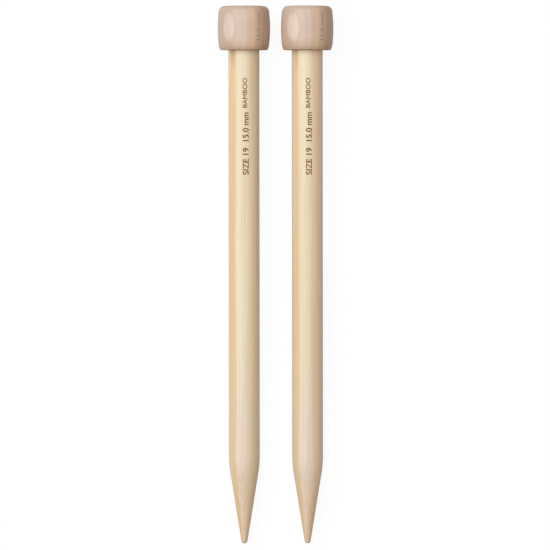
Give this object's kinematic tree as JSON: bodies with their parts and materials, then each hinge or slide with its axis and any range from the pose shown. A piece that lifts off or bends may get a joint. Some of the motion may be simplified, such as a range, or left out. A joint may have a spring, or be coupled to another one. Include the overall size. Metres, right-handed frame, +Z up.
{
  "type": "straight knitting needles",
  "caption": "Single-pointed straight knitting needles: turned bamboo shafts with long conical points and glued barrel-shaped hardwood knobs that stop the stitches.",
  "frame": {"origin": "on the table, midway between the two needles and midway between the tips and the knob ends", "axes": "+Y along the needles from the tips to the knobs, +X from the left needle to the right needle, +Z up from the table"},
  "size_m": [0.056, 0.261, 0.0254],
  "materials": {
    "bamboo_shaft": "turned bamboo, sanded and waxed to a satin shine",
    "hardwood_knob": "turned pale pinkish hardwood, satin clear coat"
  },
  "bodies": {
    "left_needle": {"left_shaft": "bamboo_shaft", "left_knob": "hardwood_knob"},
    "right_needle": {"right_shaft": "bamboo_shaft", "right_knob": "hardwood_knob"}
  },
  "joints": [
    {"name": "needles_apart", "type": "slide", "parent": "left_needle", "child": "right_needle", "axis": [1, 0, 0], "range_m": [-0.005, 0.08]}
  ]
}
